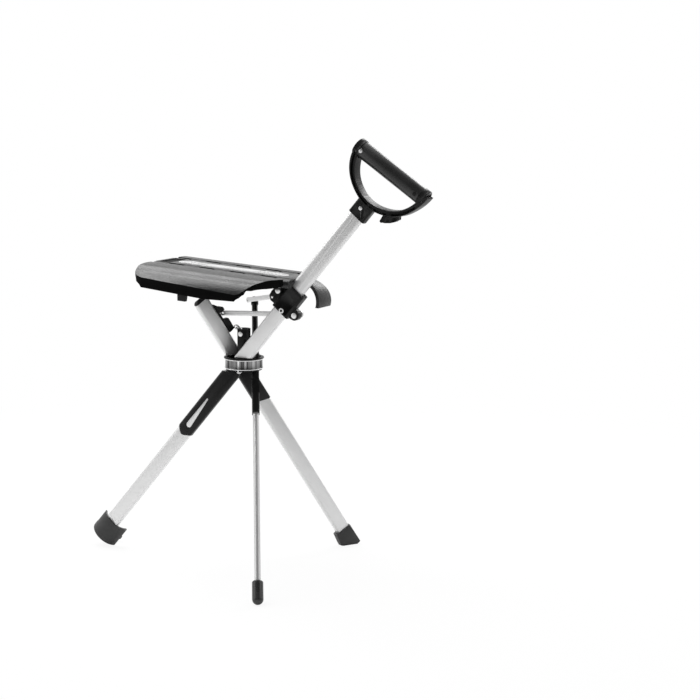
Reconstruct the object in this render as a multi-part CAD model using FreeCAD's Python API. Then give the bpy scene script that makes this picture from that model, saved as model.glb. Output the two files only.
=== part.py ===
# Walking stick with a fold-out tripod seat, in millimetres.
# The stick is modelled around its hub and then moved so that the floor is z = 0.
# Hub axes: x from the front of the seat to the rear, y to the far side, z up.
import FreeCAD
import Part
import math
import os

os.makedirs("parts", exist_ok=True)

# Driving dimensions
HUB_HEIGHT = 343.7
PIVOT_RADIUS = 19.0
TILT_POLE = 40.4
TILT_LEG = 34.0
TILT_ROD = 37.4
# Length of each leg from its pivot to the floor, along the leg
POLE_REACH = HUB_HEIGHT / math.cos(math.radians(TILT_POLE))
LEG_REACH = HUB_HEIGHT / math.cos(math.radians(TILT_LEG))
ROD_REACH = HUB_HEIGHT / math.cos(math.radians(TILT_ROD))
AZ_POLE = 0.0
AZ_LEG = -120.0
AZ_ROD = 120.0

# Flat oval tube shared by the pole and the leg
TUBE_W = 26.0
TUBE_T = 11.0
TUBE_WALL = 1.5
TUBE_R = 4.2
ROD_D = 10.0
SLEEVE_WALL = 1.5
SLEEVE_DROP = 10.6
SEAT_FIT = 0.05

# Hub
BAND_RI = 29.2
BAND_T = 2.1
BAND_RO = BAND_RI + BAND_T
BAND_Z0 = -8.5
BAND_Z1 = 8.0
FLANGE_STEP = 2.2
FLANGE_R = BAND_RO + FLANGE_STEP
FLANGE_T = 3.0
HUB_WALL = 1.2
CORE_IN_R = 13.1
PIN_R = 3.0
POST_R = 11.0
POST_BORE = 8.5
POST_TOP = 58.0
POST_RIVET_Z = 49.5
RUN_GAP = 12.3
WAIST_U = 7.0
WAIST_V0 = -2.2
WAIST_V1 = 5.5
PLUG_LENGTH = 32.0

# Pole, handle and cup
POLE_TUBE_TOP = 352.0
SLEEVE_A_END = -160.0
CUP_R = 27.4
CUP_WALL = 2.9
CUP_LIFT = 21.93
CUP_HEIGHT = 42.4
CUP_BOTTOM = CUP_LIFT - POLE_REACH
CUP_TOP = CUP_BOTTOM + CUP_HEIGHT
CUP_SOCKET = 32.4
POLE_TUBE_END = CUP_BOTTOM + 7.4
CUP_DISC = 3.2
GRIP_S = 426.0
GRIP_TILT = 5.9
GRIP_R = 13.7
GRIP_HALF = 70.0
ARCH_HALF_V = 12.5
ARCH_ROUND = 2.4
SOCKET_S0 = 334.0
SOCKET_S1 = 361.0

# Leg
LEG_TOP = 127.3
LEG_CAP = 3.4
LEG_TUBE_END = 22.6 - LEG_REACH
WEDGE_HEIGHT = 41.5
WEDGE_LOW = -4.4 - LEG_REACH
SLEEVE_B_END = -84.0

# Rod
ROD_TOP = 124.5
ROD_FOOT_R = 9.0
ROD_FOOT_S = 11.36 - ROD_REACH
ROD_FOOT_TOP = ROD_FOOT_S + 30.3
ROD_END = ROD_FOOT_S + 5.3
ROD_SOCKET_END = -95.0
ROD_START = RUN_GAP + PLUG_LENGTH - 10.3
ROD_LOW_TOP = -RUN_GAP - PLUG_LENGTH - 2.7

# Collar sliding on the pole
COLLAR_S0 = 124.0
COLLAR_S1 = 171.0
COLLAR_U0 = -16.0
COLLAR_U1 = 18.6
COLLAR_HALF_V = 9.0
COLLAR_GAP = 0.3
P1_U = -22.8
P1_S = 148.9
P2_U = 24.3
P2_S = 137.0
EAR_HALF_V = 5.6
RIVET_R = 3.0
RIVET_HEAD = 4.7
BALL_R = 4.0
BALL_V = 14.5
LINK_C_U = -25.0
LINK_C_S = 132.0

# Seat, in its own axes: f to the rear, y across, w up, zero at the seat pivot
SEAT_TILT = 3.8
SEAT_TOP = 22.0
SEAT_UNDER = 6.0
SKIN = 4.0
PANEL_F0 = -235.0
PANEL_F1 = 27.0
PANEL_HALF = 27.6
HINGE_Y = 36.0
HINGE_W = 14.0
BARREL_R = 7.5
KNUCKLES = 9
KNUCKLE_GAP = 0.4
HINGE_PIN_R = 2.0
STRIP_F0 = -205.0
STRIP_F1 = 2.0
STRIP_HALF = 15.3
STRIP_DEEP = 1.6
STRIP_PROUD = 0.4
WING_OUT = 72.0
WING_IN = 8.4
RIM_WALL = 4.0

V = FreeCAD.Vector


def box(x0, x1, y0, y1, z0, z1):
    return Part.makeBox(x1 - x0, y1 - y0, z1 - z0, V(x0, y0, z0))


def cyl(radius, start, direction, length):
    return Part.makeCylinder(radius, length, V(*start), V(*direction))


def ring(r_in, r_out, z0, z1):
    outer = Part.makeCylinder(r_out, z1 - z0, V(0, 0, z0))
    return outer.cut(Part.makeCylinder(r_in, z1 - z0, V(0, 0, z0)))


def joined(shapes):
    out = shapes[0]
    for other in shapes[1:]:
        out = out.fuse(other)
    return out.removeSplitter()


def oval(width, thick, radius, z0, z1):
    """Upright prism with a rounded rectangular section."""
    body = box(-width / 2, width / 2, -thick / 2, thick / 2, z0, z1)
    edges = [e for e in body.Edges if abs(e.Vertexes[0].Z - e.Vertexes[1].Z) > 1.0]
    return body.makeFillet(radius, edges)


def poly_prism(points, plane, low, high):
    """Polygon drawn in a coordinate plane and pushed out between two levels."""
    if plane == "xz":
        wire = Part.makePolygon([V(a, low, b) for a, b in points + points[:1]])
        return Part.Face(wire).extrude(V(0, high - low, 0))
    if plane == "xy":
        wire = Part.makePolygon([V(a, b, low) for a, b in points + points[:1]])
        return Part.Face(wire).extrude(V(0, 0, high - low))
    wire = Part.makePolygon([V(low, a, b) for a, b in points + points[:1]])
    return Part.Face(wire).extrude(V(high - low, 0, 0))


def spline(points, plane, level):
    curve = Part.BSplineCurve()
    if plane == "xz":
        curve.interpolate([V(a, level, b) for a, b in points])
    else:
        curve.interpolate([V(level, a, b) for a, b in points])
    return curve.toShape()


def leg_matrix(azimuth, tilt):
    """Placement of a leg: tilt about its pivot, then turn about the hub axis."""
    lean = FreeCAD.Placement(V(0, -PIVOT_RADIUS, 0), FreeCAD.Rotation(V(0, 1, 0), tilt))
    turn = FreeCAD.Placement(V(0, 0, 0), FreeCAD.Rotation(V(0, 0, 1), azimuth))
    return turn.multiply(lean)


POLE_AT = leg_matrix(AZ_POLE, TILT_POLE)
LEG_AT = leg_matrix(AZ_LEG, TILT_LEG)
ROD_AT = leg_matrix(AZ_ROD, TILT_ROD)
P1_HUB = POLE_AT.multVec(V(P1_U, PIVOT_RADIUS, P1_S))
SEAT_AT = FreeCAD.Placement(P1_HUB, FreeCAD.Rotation(V(0, 1, 0), SEAT_TILT))


def placed(shape, place):
    out = shape.copy()
    out.Placement = place.multiply(out.Placement)
    return out


def trim_rest(shape, tilt, level, keep_above):
    """Cut a leg part by a plane that is level while the seat is open."""
    big = 600.0
    if keep_above:
        tool = box(-big, big, -big, big, level - big, level)
    else:
        tool = box(-big, big, -big, big, level, level + big)
    tool.rotate(V(0, 0, 0), V(0, 1, 0), -tilt)
    return shape.cut(tool)


NODES = {}


def put(name, shape, place):
    NODES[name] = placed(shape, place)


HERE = FreeCAD.Placement()

# Hub body: a three-sided core inside a round wall, with a seat for the band
corner = 2 * CORE_IN_R
core_points = []
for k in range(3):
    a = math.radians(-30 + 120 * k)
    core_points.append((corner * math.cos(a), corner * math.sin(a)))
core = poly_prism(core_points, "xy", BAND_Z0, BAND_Z1)
wall_in = BAND_RI - HUB_WALL
core = core.common(Part.makeCylinder(wall_in + 0.5, BAND_Z1 - BAND_Z0, V(0, 0, BAND_Z0)))
wall = ring(wall_in, BAND_RI, BAND_Z0, BAND_Z1)
lip = ring(BAND_RI - 0.6, BAND_RI + 1.0, BAND_Z0 - 2.4, BAND_Z0)
spokes = []
for k in range(3):
    spoke = box(20, BAND_RI - 0.5, -3, 3, BAND_Z0, BAND_Z1)
    spoke.rotate(V(0, 0, 0), V(0, 0, 1), -30 + 120 * k)
    spokes.append(spoke)
hub = joined([core, wall, lip] + spokes)
hub_pins = []
for azimuth in (AZ_POLE, AZ_LEG, AZ_ROD):
    a = math.radians(azimuth - 90)
    radial = (math.cos(a), math.sin(a), 0)
    start = (9 * radial[0], 9 * radial[1], 0)
    pin = cyl(PIN_R, start, radial, BAND_RI - 0.4 - 9)
    hub = hub.cut(pin)
    hub_pins.append(pin)
put("hub_body", hub, HERE)
put("hub_pivot_pins", Part.Compound(hub_pins), HERE)

# Chrome band with two raised edges and a small seam lug
band = ring(BAND_RI, BAND_RO, BAND_Z0, BAND_Z1)
edge_low = ring(BAND_RI, BAND_RO + 0.7, BAND_Z0, BAND_Z0 + 1.3)
edge_top = ring(BAND_RI, BAND_RO + 0.7, BAND_Z1 - 1.3, BAND_Z1)
seam = box(BAND_RI + 1.2, BAND_RO + 0.5, -1.2, 1.2, BAND_Z0 - 2.0, BAND_Z1)
seam.rotate(V(0, 0, 0), V(0, 0, 1), -78)
band = joined([band, edge_low, edge_top, seam])
put("ring_band", band, HERE)

# Flange on top of the band, with an upstand between the pole and the rod
flange = ring(BAND_RI - 0.6, FLANGE_R, BAND_Z1, BAND_Z1 + FLANGE_T)
flange = flange.makeFillet(1.2, [e for e in flange.Edges if abs(e.Length - 2 * math.pi * FLANGE_R) < 0.1])
upstand = poly_prism([(28.4, 10.5), (34.5, 10.5), (34.5, 14), (33, 19), (31, 19)], "xz", -2, 2)
upstand.rotate(V(0, 0, 0), V(0, 0, 1), -14)
put("hub_flange", joined([flange, upstand]), HERE)

# Open post standing on the core, slotted for the toggle link
post = ring(POST_BORE, POST_R, BAND_Z1 + 4, POST_TOP)
post_base = Part.makeCylinder(POST_R, 4, V(0, 0, BAND_Z1))
post = joined([post, post_base])
post = post.cut(box(-15, 15, -2.9, 2.9, POST_RIVET_Z - 9, POST_TOP + 1))
rivet_hole = cyl(2.5, (0, -15, POST_RIVET_Z), (0, 1, 0), 30)
put("hub_post", post.cut(rivet_hole), HERE)
post_rivet = joined([
    cyl(2.5, (0, -POST_R - 0.9, POST_RIVET_Z), (0, 1, 0), 2 * POST_R + 1.8),
    cyl(4.0, (0, -POST_R - 1.6, POST_RIVET_Z), (0, 1, 0), 2.2),
    cyl(4.0, (0, POST_R - 0.6, POST_RIVET_Z), (0, 1, 0), 2.2),
])
post_core = Part.makeCylinder(POST_R, 80, V(0, 0, 0))
head_cut = post_core.cut(box(-15, 15, -9.9, 9.9, 0, 80))
stem = cyl(2.5, (0, -12, POST_RIVET_Z), (0, 1, 0), 24)
post_rivet = joined([post_rivet.cut(head_cut), stem])
put("post_rivet", post_rivet, HERE)
TOGGLE_L = 18.0
TOGGLE_REST = -54.4
toggle = joined([
    cyl(5.0, (0, -2.2, 0), (0, 1, 0), 4.4),
    cyl(3.4, (0, -2.2, TOGGLE_L), (0, 1, 0), 4.4),
    box(-3.4, 3.4, -2.2, 2.2, 0, TOGGLE_L),
])
toggle = toggle.cut(cyl(2.55, (0, -5, 0), (0, 1, 0), 10))
toggle = toggle.cut(cyl(1.6, (0, -5, TOGGLE_L), (0, 1, 0), 10))
toggle_place = FreeCAD.Placement(V(0, 0, POST_RIVET_Z), FreeCAD.Rotation(V(0, 1, 0), TOGGLE_REST))
put("toggle_link", toggle, toggle_place)


def connector(tilt, width, thick, plug_r):
    """Narrow waist through the hub with a plug into the tube at each end."""
    reach = RUN_GAP + 4
    waist = box(-WAIST_U, WAIST_U, WAIST_V0, WAIST_V1, -reach - 8, reach + 8)
    top = oval(width, thick, plug_r, 0, RUN_GAP + PLUG_LENGTH)
    low = oval(width, thick, plug_r, -RUN_GAP - PLUG_LENGTH, 0)
    top = trim_rest(top, tilt, RUN_GAP, True)
    low = trim_rest(low, tilt, -RUN_GAP, False)
    inside = oval(width, thick, plug_r, -60, 60)
    ends = waist.common(inside)
    mid = trim_rest(trim_rest(waist, tilt, RUN_GAP, False), tilt, -RUN_GAP, True)
    out = joined([mid, ends, top, low])
    return out.cut(cyl(PIN_R + SEAT_FIT, (0, -20, 0), (0, 1, 0), 40))


def tube(width, thick, wall, radius, z0, z1):
    outer = oval(width, thick, radius, z0, z1)
    inner = oval(width - 2 * wall, thick - 2 * wall, radius - wall, z0 - 1, z1 + 1)
    return outer.cut(inner)


plug_w = TUBE_W - 2 * TUBE_WALL
plug_t = TUBE_T - 2 * TUBE_WALL
plug_r = TUBE_R - TUBE_WALL

# Pole: upper and lower tube joined by a connector through the hub
pole_mid = connector(TILT_POLE, plug_w, plug_t, plug_r)
put("pole_connector", pole_mid, POLE_AT)
upper = tube(TUBE_W, TUBE_T, TUBE_WALL, TUBE_R, 0, POLE_TUBE_TOP)
lower = tube(TUBE_W, TUBE_T, TUBE_WALL, TUBE_R, POLE_TUBE_END, 0)
put("pole_lower_tube", trim_rest(lower, TILT_POLE, -RUN_GAP, False), POLE_AT)


def sleeve(tilt, end_points, z_end):
    """Moulded sleeve round the lower tube, its end cut to a drawn line."""
    width = TUBE_W + 2 * SLEEVE_WALL
    thick = TUBE_T + 2 * SLEEVE_WALL
    outer = oval(width, thick, TUBE_R + 1.2, z_end - 20, -SLEEVE_DROP)
    outer = outer.cut(oval(TUBE_W, TUBE_T, TUBE_R, z_end - 30, 10))
    tool_edge = spline(end_points, "xz", -20)
    a = V(end_points[-1][0], -20, end_points[-1][1])
    b = V(a.x, -20, z_end - 60)
    d = V(end_points[0][0], -20, end_points[0][1])
    c = V(d.x, -20, z_end - 60)
    wire = Part.Wire([tool_edge, Part.makeLine(a, b), Part.makeLine(b, c), Part.makeLine(c, d)])
    tool = Part.Face(wire).extrude(V(0, 40, 0))
    return trim_rest(outer.cut(tool), tilt, -RUN_GAP, False)


end_a = [(-20, -156), (-10, -160), (0, -166), (10, -160), (20, -156)]
sleeve_a = sleeve(TILT_POLE, end_a, SLEEVE_A_END)
# Teardrop window through the near wall of the sleeve, filled by a bright insert
narrow = V(-1.9, -20, -84)
wide = V(0.6, -20, -143)
wide_r = 5.0
slim_r = 1.6
tip_a = cyl(slim_r, (narrow.x, -20, narrow.z), (0, 1, 0), 20)
tip_b = cyl(wide_r, (wide.x, -20, wide.z), (0, 1, 0), 20)
side = poly_prism([
    (narrow.x - slim_r, narrow.z), (narrow.x + slim_r, narrow.z),
    (wide.x + wide_r, wide.z), (wide.x - wide_r, wide.z),
], "xz", -20, 0)
teardrop = joined([tip_a, tip_b, side])
near_wall = box(-30, 30, -TUBE_T / 2 - SLEEVE_WALL - 1, -TUBE_T / 2, -160, -60)
sleeve_window = teardrop.common(near_wall).common(box(-30, 30, -TUBE_T / 2 - 1.2, 0, -160, -60))
put("pole_sleeve", sleeve_a.cut(teardrop.common(near_wall)), POLE_AT)
put("sleeve_window", sleeve_window, POLE_AT)

# Cup foot: round shell centred on the hub axis of the folded stick
axis_v = PIVOT_RADIUS
cup = cyl(CUP_R, (0, axis_v, CUP_BOTTOM), (0, 0, 1), CUP_TOP - CUP_BOTTOM)
rim_edges = [e for e in cup.Edges if len(e.Vertexes) == 1 and abs(e.Vertexes[0].Z - CUP_BOTTOM) < 0.01]
cup = cup.makeFillet(2.6, rim_edges)
bore = cyl(CUP_R - CUP_WALL, (0, axis_v, CUP_BOTTOM + CUP_DISC), (0, 0, 1), 80)
cup = cup.cut(bore)
socket = box(-16.2, 16.2, -8.2, 8.6, CUP_BOTTOM + 1, CUP_BOTTOM + CUP_SOCKET)
socket = socket.common(cyl(CUP_R - 1, (0, axis_v, CUP_BOTTOM + 1), (0, 0, 1), 60))
cup = joined([cup, socket])
cup = cup.cut(oval(TUBE_W, TUBE_T, TUBE_R, POLE_TUBE_END, 0))
# Side cleared for the leg foot, above a low lip
clear = []
for angle in range(22, 208, 6):
    a = math.radians(angle)
    clear.append((60 * math.cos(a), axis_v + 60 * math.sin(a)))
clear.append((-18.4, axis_v - 12.6))
clear.append((-12.0, axis_v - 7.6))
clear.append((6.0, axis_v - 6.6))
lip_s = CUP_BOTTOM + CUP_DISC + 5.2
cup = cup.cut(poly_prism(clear, "xy", lip_s, CUP_TOP + CUP_HEIGHT))
# Mouth for the rod foot, open toward the side it arrives from
mouth_at = (PIVOT_RADIUS * math.cos(math.radians(30)), axis_v + PIVOT_RADIUS * math.sin(math.radians(30)))
mouth_r = ROD_FOOT_R + 0.9
mouth = cyl(mouth_r, (mouth_at[0], mouth_at[1], CUP_BOTTOM - 5), (0, 0, 1), 2 * CUP_HEIGHT)
lane = box(0, 60, -mouth_r, mouth_r, CUP_BOTTOM - 5, CUP_TOP + CUP_HEIGHT)
lane.rotate(V(0, 0, 0), V(0, 0, 1), -29)
lane.translate(V(mouth_at[0], mouth_at[1], 0))
cup = cup.cut(mouth).cut(lane)
cup = max(cup.Solids, key=lambda s: s.Volume)
floor_cut = trim_rest(cup, TILT_POLE, -HUB_HEIGHT, True)
put("cup_foot", floor_cut, POLE_AT)

# Handle frame: socket, arch and two end rings moulded in one piece
grip_a = math.radians(GRIP_TILT)
grip_dir = (math.cos(grip_a), 0, math.sin(grip_a))
arch_out = [(-71, 424), (-67, 402), (-56, 385), (-39, 371.5), (-17, 362.5), (0, 359.5),
            (17, 361.5), (38, 370), (57, 385), (69.5, 408), (75, 430), (75.5, 440)]
arch_in = [(66, 437), (64.5, 424), (57.5, 403), (46, 388), (28, 375.5), (12, 369.5), (0, 368),
           (-24, 372.5), (-44, 385.5), (-55, 401), (-60.5, 416), (-61.5, 424)]
line_1 = spline(arch_out, "xz", -ARCH_HALF_V)
line_2 = spline(arch_in, "xz", -ARCH_HALF_V)
cap_1 = Part.makeLine(V(75.5, -ARCH_HALF_V, 440), V(66, -ARCH_HALF_V, 437))
cap_2 = Part.makeLine(V(-61.5, -ARCH_HALF_V, 424), V(-71, -ARCH_HALF_V, 424))
arch = Part.Face(Part.Wire([line_1, cap_1, line_2, cap_2])).extrude(V(0, 2 * ARCH_HALF_V, 0))
long_edges = [e for e in arch.Edges if e.Length > 150]
arch = arch.makeFillet(ARCH_ROUND, long_edges)
end_rings = []
for side_sign in (-1, 1):
    start_u = side_sign * (GRIP_HALF + 1) * grip_dir[0]
    start_s = GRIP_S + side_sign * (GRIP_HALF + 1) * grip_dir[2]
    inward = (-side_sign * grip_dir[0], 0, -side_sign * grip_dir[2])
    end_rings.append(cyl(GRIP_R + 1.0, (start_u, 0, start_s), inward, 9))
socket = oval(33.0, 17.0, 5.0, SOCKET_S0, SOCKET_S1 + 3)
socket.translate(V(1.3, 0, 0))
hook = poly_prism([(33, 371), (35.4, 355.6), (39, 355.2), (40.5, 366), (54, 384)], "xz", -4, 4)
frame = joined([arch, socket, hook] + end_rings)
frame = frame.cut(oval(TUBE_W, TUBE_T, TUBE_R, SOCKET_S0 - 5, POLE_TUBE_TOP))
grip_at = V(-(GRIP_HALF + 2) * grip_dir[0], 0, GRIP_S - (GRIP_HALF + 2) * grip_dir[2])
bar_space = cyl(GRIP_R, (grip_at.x, 0, grip_at.z), grip_dir, 2 * GRIP_HALF + 4)
frame = frame.cut(bar_space)
grip = cyl(GRIP_R, (grip_at.x, 0, grip_at.z), grip_dir, 2 * GRIP_HALF + 4)
hollow = cyl(GRIP_R - 2.6, (grip_at.x, 0, grip_at.z), grip_dir, 2 * GRIP_HALF + 4)
web_flat = box(0, 2 * GRIP_HALF + 4, -1.1, 1.1, -GRIP_R + 1, GRIP_R - 1)
web_up = box(0, 2 * GRIP_HALF + 4, -GRIP_R + 1, GRIP_R - 1, -1.1, 1.1)
webs = joined([web_flat, web_up])
webs.rotate(V(0, 0, 0), V(0, 1, 0), -GRIP_TILT)
webs.translate(grip_at)
grip = joined([grip.cut(hollow), webs.common(hollow)])
screws = []
for along in (-58.5, 55.0):
    at_u = along * grip_dir[0]
    at_s = GRIP_S + along * grip_dir[2]
    screw = joined([
        cyl(3.4, (at_u, -GRIP_R + 0.2, at_s), (0, 1, 0), 1.6),
        cyl(1.6, (at_u, -GRIP_R + 1.0, at_s), (0, 1, 0), 8.0),
    ])
    grip = grip.cut(screw)
    grip = grip.cut(cyl(3.4, (at_u, -GRIP_R - 2, at_s), (0, 1, 0), 3))
    screws.append(screw)
socket_screw = joined([
    cyl(3.4, (-1.1, -8.3, 350.0), (0, 1, 0), 1.6),
    cyl(1.6, (-1.1, -7.5, 350.0), (0, 1, 0), 3.4),
])
frame = frame.cut(socket_screw).cut(cyl(3.4, (-1.1, -12, 350.0), (0, 1, 0), 4))
upper_tube = trim_rest(upper, TILT_POLE, RUN_GAP, True).cut(socket_screw)
put("pole_upper_tube", upper_tube, POLE_AT)
screws.append(socket_screw)
put("handle_frame", frame, POLE_AT)
put("handle_grip", grip, POLE_AT)
put("handle_screws", Part.Compound(screws), POLE_AT)

# Leg with its own connector, sleeve, cap, bracket and wedge foot
put("leg_connector", connector(TILT_LEG, plug_w, plug_t, plug_r), LEG_AT)
leg_up = tube(TUBE_W, TUBE_T, TUBE_WALL, TUBE_R, 0, LEG_TOP)
put("leg_upper_tube", trim_rest(leg_up, TILT_LEG, RUN_GAP, True), LEG_AT)
cap_head = oval(TUBE_W, TUBE_T, TUBE_R, LEG_TOP, LEG_TOP + LEG_CAP)
cap_plan = poly_prism([
    (-13, LEG_TOP), (13, LEG_TOP), (13, LEG_TOP + 0.1), (7.5, LEG_TOP + LEG_CAP),
    (-7.5, LEG_TOP + LEG_CAP), (-13, LEG_TOP + 0.1),
], "xz", -10, 10)
leg_cap = joined([cap_head.common(cap_plan), oval(plug_w, plug_t, plug_r, LEG_TOP - 10, LEG_TOP)])
put("leg_cap", leg_cap, LEG_AT)
end_b = [(-20, -88), (-13, -88), (-6, -86), (2, -82.5), (10, -79.5), (20, -79)]
put("leg_sleeve", sleeve(TILT_LEG, end_b, SLEEVE_B_END), LEG_AT)
leg_low = tube(TUBE_W, TUBE_T, TUBE_WALL, TUBE_R, LEG_TUBE_END, 0)
put("leg_lower_tube", trim_rest(leg_low, TILT_LEG, -RUN_GAP, False), LEG_AT)

# Wedge foot: toe cut square, sole level on the floor while open
wedge = poly_prism([
    (-15.2, WEDGE_LOW), (19.6, WEDGE_LOW), (19.6, WEDGE_LOW + 23.0),
    (17.2, WEDGE_LOW + WEDGE_HEIGHT), (-14.6, WEDGE_LOW + WEDGE_HEIGHT - 2.4),
], "xz", -7.2, 7.2)
wedge_edges = [e for e in wedge.Edges if abs(e.Vertexes[0].Z - e.Vertexes[1].Z) > 15]
wedge = wedge.makeFillet(3.2, wedge_edges)
wedge = trim_rest(wedge, TILT_LEG, -HUB_HEIGHT, True)
wedge = wedge.cut(oval(TUBE_W, TUBE_T, TUBE_R, LEG_TUBE_END, 0))
put("wedge_foot", wedge, LEG_AT)

# Bracket on the inner edge of the leg: base plate with two lobes
BRACKET_U = -24.5
base = box(-16.0, -TUBE_W / 2, -4.5, 4.5, 52, 108)
hump = poly_prism([(-15, 108), (-20, 101), (BRACKET_U, 98), (BRACKET_U, 92.5), (-15, 92.5)], "xz", -4.5, 9.5)
lobe = poly_prism([(-15, 78), (BRACKET_U, 74), (BRACKET_U, 63), (-15, 63)], "xz", -4.5, 4.5)
toe = poly_prism([(-15, 64), (BRACKET_U, 64), (BRACKET_U, 53), (-18, 52), (-15, 52)], "xz", -4.5, 4.0)
put("leg_bracket", joined([base, hump, lobe, toe]), LEG_AT)

# Rod with socket, connector, cap and rounded foot
rod_mid = connector(TILT_ROD, 16.0, 12.0, 3.0)
rod_bore_top = cyl(ROD_D / 2, (0, 0, ROD_START), (0, 0, 1), 40)
rod_mid = rod_mid.cut(rod_bore_top)
put("rod_connector", rod_mid, ROD_AT)
put("rod_upper", cyl(ROD_D / 2, (0, 0, ROD_START), (0, 0, 1), ROD_TOP - ROD_START), ROD_AT)
rod_cap = cyl(ROD_D / 2 + 1.2, (0, 0, ROD_TOP - 12), (0, 0, 1), 13.7)
cap_edges = [e for e in rod_cap.Edges if len(e.Vertexes) == 1 and e.Vertexes[0].Z > ROD_TOP]
rod_cap = rod_cap.makeFillet(2.5, cap_edges)
rod_cap = rod_cap.cut(cyl(ROD_D / 2, (0, 0, 0), (0, 0, 1), ROD_TOP))
put("rod_cap", rod_cap, ROD_AT)
socket_len = oval(16.4, 12.4, 3.4, ROD_SOCKET_END, -ROD_START)
socket_len = joined([socket_len, box(-8.2, -6.4, -6.2, 6.2, -60, -34)])
rod_socket = socket_len.cut(cyl(ROD_D / 2, (0, 0, -300), (0, 0, 1), 300 + ROD_LOW_TOP))
rod_socket = rod_socket.cut(rod_mid)
put("rod_socket", rod_socket, ROD_AT)
put("rod_lower", cyl(ROD_D / 2, (0, 0, ROD_END), (0, 0, 1), ROD_LOW_TOP - ROD_END), ROD_AT)
foot_ball = Part.makeSphere(ROD_FOOT_R, V(0, 0, ROD_FOOT_S))
foot_body = cyl(ROD_FOOT_R, (0, 0, ROD_FOOT_S), (0, 0, 1), ROD_FOOT_TOP - ROD_FOOT_S)
top_edges = [e for e in foot_body.Edges if len(e.Vertexes) == 1 and e.Vertexes[0].Z > ROD_FOOT_TOP - 1]
foot_body = foot_body.makeFillet(3.0, top_edges)
rod_foot = joined([foot_ball, foot_body]).cut(cyl(ROD_D / 2, (0, 0, ROD_END), (0, 0, 1), 60))
put("rod_foot", trim_rest(rod_foot, TILT_ROD, -HUB_HEIGHT, True), ROD_AT)

# Collar that slides on the pole and carries the seat
body = box(COLLAR_U0, COLLAR_U1, -COLLAR_HALF_V, COLLAR_HALF_V, COLLAR_S0, COLLAR_S1)
body_edges = [e for e in body.Edges if abs(e.Vertexes[0].Z - e.Vertexes[1].Z) > 10]
body = body.makeFillet(3.0, body_edges)
ear_1 = poly_prism([
    (-12, 127), (-24, 126), (-31, 131), (-32.5, 140), (-31.0, 152), (-25, 158), (-12, 162),
], "xz", -EAR_HALF_V, EAR_HALF_V)
ear_2 = joined([
    box(12, P2_U, -EAR_HALF_V, EAR_HALF_V, P2_S - 9, P2_S + 9),
    cyl(8.2, (P2_U, -EAR_HALF_V, P2_S), (0, 1, 0), 2 * EAR_HALF_V),
])
collar = joined([body, ear_1, ear_2])
bore_w = TUBE_W + 2 * COLLAR_GAP
bore_t = TUBE_T + 2 * COLLAR_GAP
collar = collar.cut(oval(bore_w, bore_t, TUBE_R + COLLAR_GAP, COLLAR_S0 - 5, COLLAR_S1 + 5))
collar = collar.cut(cyl(RIVET_R, (P1_U, -20, P1_S), (0, 1, 0), 40))
collar = collar.cut(cyl(RIVET_R, (P2_U, -20, P2_S), (0, 1, 0), 40))
collar = collar.cut(cyl(2.0, (LINK_C_U, -20, LINK_C_S), (0, 1, 0), 40))
put("collar", collar, POLE_AT)


def rivet(u, s, near_v, far_v):
    """Pin along the thickness with a domed head at each end."""
    pin = cyl(RIVET_R, (u, near_v - 0.4, s), (0, 1, 0), far_v - near_v + 0.8)
    head_1 = cyl(RIVET_HEAD, (u, near_v - 1.3, s), (0, 1, 0), 1.3)
    head_2 = cyl(RIVET_HEAD, (u, far_v, s), (0, 1, 0), 1.3)
    return joined([pin, head_1, head_2])


seat_rivet = rivet(P1_U, P1_S, -COLLAR_HALF_V, COLLAR_HALF_V)
put("seat_rivet", seat_rivet, POLE_AT)
ball_pin = joined([
    cyl(RIVET_R, (P2_U, -EAR_HALF_V - 0.4, P2_S), (0, 1, 0), 2 * EAR_HALF_V + 1.2),
    cyl(RIVET_R - 1.1, (P2_U, 0, P2_S), (0, 1, 0), BALL_V - 1.0),
    cyl(RIVET_HEAD, (P2_U, -EAR_HALF_V - 1.3, P2_S), (0, 1, 0), 1.3),
    Part.makeSphere(BALL_R, V(P2_U, BALL_V, P2_S)),
])
put("link_rivet", ball_pin, POLE_AT)
stud = joined([
    cyl(2.0, (LINK_C_U, -EAR_HALF_V - 0.2, LINK_C_S), (0, 1, 0), 2 * EAR_HALF_V + 0.8),
    cyl(1.5, (LINK_C_U, 0, LINK_C_S), (0, 1, 0), BALL_V - 1.0),
    Part.makeSphere(BALL_R - 0.8, V(LINK_C_U, BALL_V, LINK_C_S)),
])
put("link_stud", stud, POLE_AT)
eyelet = cyl(4.4, (3.0, -COLLAR_HALF_V - 1.0, 128.5), (0, 1, 0), 1.0)
eyelet = eyelet.cut(cyl(2.2, (3.0, -COLLAR_HALF_V - 2, 128.5), (0, 1, 0), 4))
put("collar_eyelet", eyelet, POLE_AT)

# Links between the collar and the two legs, each on a ball stud
LINK_B_U = -22.5
LINK_B_S = 85.5
LINK_C_END_U = -9.4
LINK_C_END_V = 11.2
LINK_C_END_S = 116.0
LINK_W = 8.0
LINK_T = 2.6


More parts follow.
